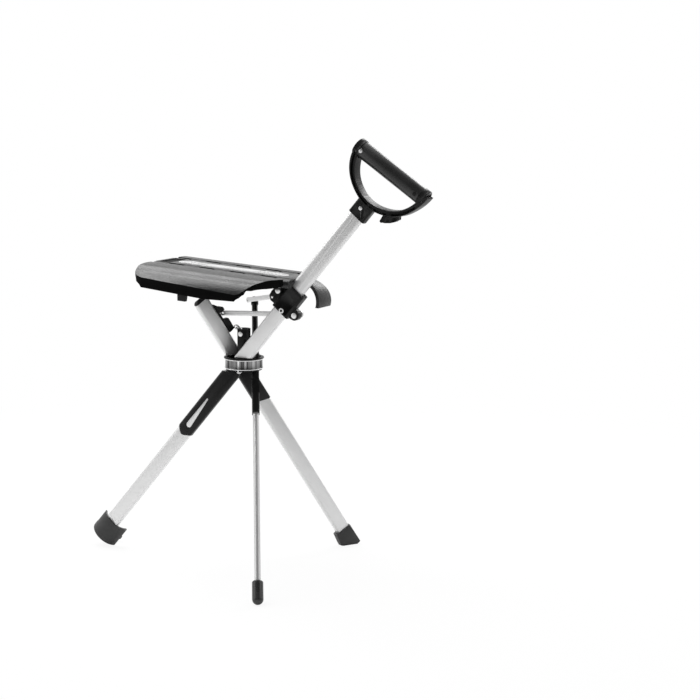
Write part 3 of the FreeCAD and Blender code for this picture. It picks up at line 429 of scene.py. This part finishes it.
# Faces that the mould leaves sunk, each with the rim round it and its depth in mm: here the collar's
# near side, which lies 9 mm before the pole's middle
CARVED = {
    "collar": (
        (lambda c, n: pole_turn(n).y < -0.99 and abs(pole_point(c).y + 9.0) < 0.1, 3.0, 0.8),
    ),
}
print("parts with sunk faces:", list(CARVED))

# %% [markdown]
# The handle is a moulded frame too. Its arch has a shallow groove in each side, which two oval ring
# tools cut away, and a curved fin fills the hook under it. All its sizes are in mm, in the pole's axes.

# %% Grooves and fin of the handle
GROOVE_SIDE, GROOVE_DEPTH, GROOVE_WIDTH = 12.6, 8.4, 3.6
ARCH_RADII, ARCH_MIDDLE, ARCH_CUT = (70.6, 68.2), (2, 430), -14
FIN_HALF = 4.2
FIN_LOW = ((37.6, 355.6), (44.5, 359.6), (51.0, 365.6), (56.0, 372.6), (59.0, 380.0))
FIN_HIGH = ((36.6, 366.0), (42.0, 370.0), (47.0, 374.5), (51.5, 379.5), (55.5, 384.5))


def arch_grooves():
    """Two oval rings, cut off below the grip, that leave a groove in each side of the handle's arch."""
    rings = []
    for side in (-GROOVE_SIDE, GROOVE_SIDE):
        bpy.ops.object.select_all(action="DESELECT")
        bpy.ops.mesh.primitive_cylinder_add(
            vertices=96, radius=1, depth=GROOVE_DEPTH, end_fill_type="NOTHING", location=(0, 0, 0))
        ring = bpy.context.view_layer.objects.active
        bpy.ops.transform.resize(value=(*ARCH_RADII, 1))
        bpy.ops.object.transform_apply(location=False, rotation=False, scale=True)
        wall = ring.modifiers.new("wall", "SOLIDIFY")
        wall.thickness = GROOVE_WIDTH
        wall.offset = -1
        wall.use_even_offset = True
        apply_all(ring)
        bpy.ops.object.mode_set(mode="EDIT")
        bpy.ops.mesh.select_all(action="SELECT")
        bpy.ops.mesh.bisect(
            plane_co=(0, ARCH_CUT, 0), plane_no=(0, 1, 0), clear_outer=True, use_fill=True)
        bpy.ops.mesh.select_all(action="SELECT")
        bpy.ops.mesh.normals_make_consistent(inside=False)
        bpy.ops.object.mode_set(mode="OBJECT")
        across, along = ARCH_MIDDLE
        stand = Matrix.Translation((across, side, along)) @ Matrix.Rotation(math.radians(90), 4, "X")
        settle(ring, POLE_AT, stand)
        rings.append(ring)
    return rings


def hook_fin():
    """The curved fin that fills the handle's hook: a strip of quads drawn out across the hook."""
    bpy.ops.object.select_all(action="DESELECT")
    bpy.ops.mesh.primitive_grid_add(x_subdivisions=4, y_subdivisions=1, size=2)
    fin = bpy.context.view_layer.objects.active
    fin.name = "hook_fin"
    for vertex in fin.data.vertices:
        step = round((vertex.co.x + 1) * 2)
        u, s = (FIN_LOW if vertex.co.y < 0 else FIN_HIGH)[step]
        vertex.co = (u, -FIN_HALF, s)
    only(fin)
    bpy.ops.object.mode_set(mode="EDIT")
    bpy.ops.mesh.select_all(action="SELECT")
    bpy.ops.mesh.extrude_region_move(TRANSFORM_OT_translate={"value": (0, 2 * FIN_HALF, 0)})
    bpy.ops.mesh.select_all(action="SELECT")
    bpy.ops.mesh.normals_make_consistent(inside=False)
    bpy.ops.object.mode_set(mode="OBJECT")
    settle(fin, POLE_AT)
    return fin


def cut_away(obj, tools):
    """Cut each tool out of the piece and remove the tool."""
    for tool in tools:
        cut = obj.modifiers.new("cut", "BOOLEAN")
        cut.operation = "DIFFERENCE"
        cut.solver = "EXACT"
        cut.object = tool
        apply_all(obj)
        only(tool)
        bpy.ops.object.delete()


def dress(name, finish, width, body, slot):
    """Make the rounded copy of a CAD part, with its moulded detail, and dress it."""
    piece = merged_copy(name, name + "_rounded")
    if name == "handle_frame":
        cut_away(piece, arch_grooves())
        join_into(piece, [hook_fin()])
    for wanted, margin, depth in CARVED.get(name, ()):
        carve(piece, wanted, margin, depth)
    round_edges(piece, width)
    if name == "handle_frame":
        close_slivers(piece)
        smooth(piece)
    wear(piece, finish, body, slot, name)
    return piece


print("handle helpers ready")

# %% [markdown]
# Each rounded part is one line here: the CAD part, its finish, the size of its edge rounding in
# millimetres, the body that it moves with and its slot in the list of materials.

# %% Rounded parts of the hub, the pole and the legs
ROUNDED = (
    ("hub_body", black_plastic, 0.5, "hub", "black_plastic"),
    ("ring_band", polished_band, 0.35, "hub", "bright_band"),
    ("hub_flange", black_plastic, 0.5, "hub", "black_plastic"),
    ("hub_post", black_plastic, 0.6, "hub", "black_plastic"),
    ("post_rivet", bright_steel, 0.5, "hub", "bright_steel"),
    ("toggle_link", bright_steel, 0.4, "toggle_link", "bright_steel"),
    ("pole_connector", black_plastic, 0.5, "pole", "black_plastic"),
    ("pole_upper_tube", pole_satin, 0.25, "pole", "satin_aluminium"),
    ("pole_lower_tube", pole_satin, 0.25, "pole", "satin_aluminium"),
    ("pole_sleeve", black_plastic, 0.5, "pole", "black_plastic"),
    ("sleeve_window", window_silver, 0.4, "pole", "bright_steel"),
    ("cup_foot", foot_rubber, 0.8, "pole", "foot_rubber"),
    ("handle_frame", black_plastic, 0.5, "pole", "black_plastic"),
    ("handle_grip", grip_plastic, 0.6, "pole", "grip_soft"),
    ("handle_screws", bright_steel, 0.3, "pole", "bright_steel"),
    ("leg_connector", black_plastic, 0.5, "leg", "black_plastic"),
    ("leg_upper_tube", leg_satin, 0.25, "leg", "satin_aluminium"),
    ("leg_cap", black_plastic, 0.5, "leg", "black_plastic"),
    ("leg_sleeve", black_plastic, 0.5, "leg", "black_plastic"),
    ("leg_lower_tube", leg_satin, 0.25, "leg", "satin_aluminium"),
    ("wedge_foot", foot_rubber, 0.9, "leg", "foot_rubber"),
    ("leg_bracket", black_plastic, 0.7, "leg", "black_plastic"),
    ("rod_connector", black_plastic, 0.5, "rod", "black_plastic"),
    ("rod_upper", black_rod, 0.3, "rod", "dark_metal"),
    ("rod_cap", black_plastic, 0.4, "rod", "black_plastic"),
    ("rod_socket", black_plastic, 0.6, "rod", "black_plastic"),
    ("rod_lower", rod_satin, 0.3, "rod", "satin_aluminium"),
    ("rod_foot", rod_rubber, 0.6, "rod", "foot_rubber"),
    ("collar", black_plastic, 0.8, "collar", "black_plastic"),
    ("seat_rivet", bright_steel, 1.1, "collar", "bright_steel"),
    ("link_rivet", bright_steel, 1.1, "collar", "bright_steel"),
    ("link_stud", bright_steel, 0.3, "collar", "bright_steel"),
    ("collar_eyelet", bright_steel, 0.3, "collar", "bright_steel"),
    ("link_leg", link_satin, 0.4, "link_leg", "satin_aluminium"),
    ("link_rod", link_satin, 0.4, "link_rod", "satin_aluminium"),
    ("seat_panel", grained_plastic, 0.6, "seat", "black_plastic"),
    ("near_wing", wing_plastic, 1.6, "near_wing", "wing_plastic"),
    ("far_wing", wing_plastic, 1.6, "far_wing", "wing_plastic"),
)
dressed = {}
for name, finish, width, body, slot in ROUNDED:
    dressed[name] = dress(name, finish, width, body, slot)
print("rounded parts:", len(dressed))

# %% [markdown]
# Some parts carry a second finish. The wall of each wing below its crease and the pocket in the seat get a
# darker, duller, finer-grained copy of the plastic that hardly reflects, which is painted shade; the band's
# raised edges are bright all round; the far screw of the grip is painted black as shade for its deep hole.
# The hinge pins keep their CAD shape, in bright steel.

# %% Second finishes, some of them painted shade
WALL_SLOPE = 0.30
BAND_RIM_RADIUS = 31.7 * MM
BAND_MIDDLE, BAND_HALF, BAND_RIM_HEIGHT = -0.25 * MM, 8.0 * MM, 0.9 * MM
FAR_SCREW_U = 20
POCKET_REAR, POCKET_HALF, POCKET_FLOOR, POCKET_TOP = -205, 29, 10, 21.5


def second_finish(name, finish, wanted):
    """Give the faces for which wanted(centre, normal) holds another finish."""
    mesh = dressed[name].data
    mesh.materials.append(finish)
    count = 0
    for face in mesh.polygons:
        if wanted(face.center, face.normal):
            face.material_index = 1
            count += 1
    print(name, "faces with a second finish:", count)


def on_band_rim(centre, normal):
    from_hub = centre - HUB
    at_end = abs(abs(from_hub.z - BAND_MIDDLE) - BAND_HALF) < BAND_RIM_HEIGHT
    return from_hub.xy.length > BAND_RIM_RADIUS or at_end


def in_pocket(centre, normal):
    at = seat_point(centre)
    return at.x < POCKET_REAR and abs(at.y) < POCKET_HALF and POCKET_FLOOR < at.z < POCKET_TOP


# The wings' walls below the crease get the darker copy: painted shade.
for name in ("near_wing", "far_wing"):
    second_finish(name, painted_shade_plastic, lambda c, n: n.z < WALL_SLOPE)
second_finish("ring_band", bright_steel, on_band_rim)
# The far screw is painted black: painted shade for the deep hole it sits in.
second_finish("handle_screws", black_plastic, lambda c, n: pole_point(c).x > FAR_SCREW_U)
# The seat's pocket gets the darker copy: painted shade in a recess.
second_finish("seat_panel", painted_shade_plastic, in_pocket)
for name in NODES:
    if name not in dressed and name not in ("inlay_strip", "wing_clip"):
        NODES[name].data.materials.clear()
        NODES[name].data.materials.append(bright_steel)

# %% [markdown]
# A small U-shaped clip hangs under the near wing, like a little tray that is open at the top. A cube is
# set to its size, its top face is inset and pushed down, and its foot is drawn in before rounding. It is
# longer than the strap that stands for it in the CAD model, as the photograph shows it.

# %% Clip under the near wing
CLIP_SIZE, CLIP_MIDDLE = (18.0, 7.6, 22.0), (-136.5, -100.8, -15.5)
CLIP_WALL, CLIP_HOLLOW, CLIP_FOOT_TOP = 1.6, 19.0, -26
bpy.ops.object.select_all(action="DESELECT")
bpy.ops.mesh.primitive_cube_add(size=1, location=CLIP_MIDDLE)
clip = bpy.context.view_layer.objects.active
clip.name = "wing_clip_tray"
bpy.ops.transform.resize(value=CLIP_SIZE)
bpy.ops.object.transform_apply(location=True, rotation=True, scale=True)
pick_faces(clip, lambda c, n: n.z > 0.9)
bpy.ops.object.mode_set(mode="EDIT")
bpy.ops.mesh.inset(thickness=CLIP_WALL, depth=0)
bpy.ops.mesh.inset(thickness=0.2, depth=-CLIP_HOLLOW)
bpy.ops.object.mode_set(mode="OBJECT")
pick_faces(clip, lambda c, n: c.z < CLIP_FOOT_TOP)
bpy.ops.object.mode_set(mode="EDIT")
bpy.ops.transform.resize(value=(0.82, 0.9, 1))
bpy.ops.object.mode_set(mode="OBJECT")
settle(clip, SEAT_AT)
round_edges(clip, 0.7)
wear(clip, black_plastic, "near_wing", "bright_steel", "wing_clip")
print("clip faces:", len(clip.data.polygons))

# %% [markdown]
# The pale strip down the middle of the seat carries raised six-sided pads at both ends, for grip, and a
# long bare panel between them. One pad is shaped from a cylinder with six sides and a bevelled top,
# then copied along the rows. The pads that cross the edge of the strip are trimmed there by a bisect.

# %% Inlay strip with its raised pads
STRIP_FRONT, STRIP_REAR, STRIP_HALF, STRIP_TOP = -205.0, 2.0, 15.3, 22.4
PAD_RADIUS, PAD_PITCH, PAD_ROW, PAD_RISE = 6.2, 11.5, 10.5, 0.6
PAD_ROWS, FIRST_ROW, EDGE_MARGIN = 4, 12.5, 1.6
PANEL_ENDS, PANEL_WIDTH, PANEL_RISE = 104, 23.6, 0.4


def pad_blank():
    """One six-sided pad with a bevelled top, in the middle of the strip."""
    bpy.ops.object.select_all(action="DESELECT")
    bpy.ops.mesh.primitive_cylinder_add(
        vertices=6, radius=PAD_RADIUS, depth=PAD_RISE, location=(0, 0, STRIP_TOP + PAD_RISE / 2))
    pad = bpy.context.view_layer.objects.active
    pad.name = "strip_pad"
    bpy.ops.object.transform_apply(location=True, rotation=True, scale=True)
    pick_faces(pad, lambda c, n: n.z > 0.9)
    bpy.ops.object.mode_set(mode="EDIT")
    bpy.ops.mesh.bevel(offset=0.45, segments=2, affect="EDGES")
    bpy.ops.object.mode_set(mode="OBJECT")
    return pad


def trimmed(obj, side):
    """Cut a pad off at the edge of the strip."""
    only(obj)
    bpy.ops.object.mode_set(mode="EDIT")
    bpy.ops.mesh.select_all(action="SELECT")
    bpy.ops.mesh.bisect(
        plane_co=(0, side * (STRIP_HALF - EDGE_MARGIN), 0), plane_no=(0, side, 0),
        clear_outer=True, use_fill=True)
    bpy.ops.object.mode_set(mode="OBJECT")


blank = pad_blank()
pads = []
for end, inward in ((STRIP_REAR, -1), (STRIP_FRONT, 1)):
    for row in range(PAD_ROWS):
        along = end + inward * (FIRST_ROW + PAD_ROW * row)
        offsets = (-0.5, 0.5) if row % 2 == 0 else (-1, 0, 1)
        for offset in offsets:
            only(blank)
            bpy.ops.object.duplicate(linked=False)
            pad = bpy.context.view_layer.objects.active
            bpy.ops.transform.translate(value=(along, offset * PAD_PITCH, 0))
            bpy.ops.object.transform_apply(location=True, rotation=True, scale=True)
            if abs(offset) == 1:
                trimmed(pad, offset)
            pads.append(pad)
only(blank)
bpy.ops.object.delete()

bpy.ops.mesh.primitive_cube_add(
    size=1, location=((STRIP_FRONT + STRIP_REAR) / 2, 0, STRIP_TOP + PANEL_RISE / 2))
plate = bpy.context.view_layer.objects.active
plate.name = "strip_bare_panel"
bpy.ops.transform.resize(value=(STRIP_REAR - STRIP_FRONT - PANEL_ENDS, PANEL_WIDTH, PANEL_RISE))
bpy.ops.object.transform_apply(location=True, rotation=True, scale=True)
mesh = plate.data
only(plate)
bpy.context.tool_settings.mesh_select_mode = (False, True, False)
for item in list(mesh.vertices) + list(mesh.polygons):
    item.select = False
for edge in mesh.edges:
    ends = [mesh.vertices[i].co for i in edge.vertices]
    edge.select = abs(ends[0].z - ends[1].z) > PANEL_RISE / 2
bpy.ops.object.mode_set(mode="EDIT")
bpy.ops.mesh.bevel(offset=11.6, segments=10, affect="EDGES")
bpy.ops.object.mode_set(mode="OBJECT")
join_into(plate, pads)
settle(plate, SEAT_AT)
strip = merged_copy("inlay_strip", "inlay_strip_rounded")
round_edges(strip, 0.25)
join_into(strip, [plate])
smooth(strip, 30)
wear(strip, inlay_plastic, "seat", "grey_plastic", "inlay_strip")
print("strip pads:", len(pads), "faces:", len(strip.data.polygons))

# %% [markdown]
# A plain pale floor and a white room, as in a product photograph. The floor is white to the camera but
# still keeps a faint shadow. Shiny surfaces see a room that is dim on the near side and white behind.

# %% Floor and world
bpy.ops.object.select_all(action="DESELECT")
bpy.ops.mesh.primitive_plane_add(size=60)
floor = bpy.context.view_layer.objects.active
floor.name = "floor"
floor_mat = bpy.data.materials.new("pale_floor")
floor_mat.use_nodes = True
tree = floor_mat.node_tree
tree.nodes.clear()
out = node(tree, "ShaderNodeOutputMaterial")
matt = node(tree, "ShaderNodeBsdfDiffuse", {"Color": grey(0.82)})
glow = node(tree, "ShaderNodeEmission", {"Color": grey(1.0), "Strength": 1.0})
path = node(tree, "ShaderNodeLightPath")
spot = node(tree, "ShaderNodeTexCoord").outputs["Object"]
away = node(tree, "ShaderNodeVectorMath", {0: spot}, operation="LENGTH").outputs["Value"]
share = ramp(tree, away, 0.90, 1.0, 0.5, 1.6)
seen = node(tree, "ShaderNodeMath", {
    0: path.outputs["Is Camera Ray"], 1: share}, operation="MULTIPLY")
mirrored = node(tree, "ShaderNodeMath", {
    0: path.outputs["Is Glossy Ray"], 1: 0.4}, operation="MULTIPLY")
seen = node(tree, "ShaderNodeMath", {0: seen.outputs[0], 1: mirrored.outputs[0]}, operation="MAXIMUM")
both = node(tree, "ShaderNodeMixShader", {0: seen.outputs[0], 1: matt.outputs[0], 2: glow.outputs[0]})
tree.links.new(both.outputs[0], out.inputs["Surface"])
floor.data.materials.append(floor_mat)

world = bpy.data.worlds.new("white_room")
bpy.context.scene.world = world
world.use_nodes = True
tree = world.node_tree
tree.nodes.clear()
out = node(tree, "ShaderNodeOutputWorld")
path = node(tree, "ShaderNodeLightPath")
seen = node(tree, "ShaderNodeMath", {
    0: path.outputs["Is Camera Ray"], 1: path.outputs["Is Transmission Ray"]}, operation="MAXIMUM")
soft = node(tree, "ShaderNodeBackground", {"Color": grey(1.0), "Strength": 0.45})
white = node(tree, "ShaderNodeBackground", {"Color": grey(1.0), "Strength": 1.0})
pick = node(tree, "ShaderNodeMixShader", {0: seen.outputs[0], 1: soft.outputs[0], 2: white.outputs[0]})
# Mirror-like surfaces see a dim room on the near side and the white paper sweep behind the stick
direction_seen = node(tree, "ShaderNodeTexCoord").outputs["Generated"]
toward_back = node(tree, "ShaderNodeVectorMath", {
    0: direction_seen, 1: (look.x, look.y, 0)}, operation="DOT_PRODUCT").outputs["Value"]
sweep = ramp(tree, toward_back, 0.16, 1.0, -0.35, 0.25)
dim = node(tree, "ShaderNodeBackground", {"Color": grey(1.0), "Strength": sweep})
glossy_only = node(tree, "ShaderNodeMixShader", {
    0: path.outputs["Is Glossy Ray"], 1: pick.outputs[0], 2: dim.outputs[0]})
tree.links.new(glossy_only.outputs[0], out.inputs["Surface"])
print("floor and room ready")

# %% [markdown]
# Four soft lamps: a large one above and to the left, as in the photograph, weaker ones from the front
# left and from the right, and one behind, which draws bright lines along the edges.

# %% Lamps


def lamp(name, at, target, size, power):
    """A square lamp that faces its target; the size is in metres and the power in watts."""
    data = bpy.data.lights.new(name, "AREA")
    data.shape = "SQUARE"
    data.size = size
    data.energy = power
    made = bpy.data.objects.new(name, data)
    bpy.context.scene.collection.objects.link(made)
    made.location = at
    made.rotation_euler = (Vector(target) - Vector(at)).to_track_quat("-Z", "Y").to_euler()
    return made


AIM = (0, 0, 0.4)
lamp("top_lamp", (-1.0, 0.25, 2.4), AIM, 1.9, 66)
lamp("front_lamp", (-2.6, -2.2, 1.5), AIM, 2.2, 16)
lamp("rim_lamp", (0.3, 2.4, 1.8), AIM, 1.2, 24)
lamp("side_lamp", (2.3, 0.3, 1.5), AIM, 1.4, 6)
print("lamps ready")

# %% [markdown]
# The last step sets the scene's view transform to Standard.

# %% View transform
bpy.context.scene.view_settings.view_transform = "Standard"
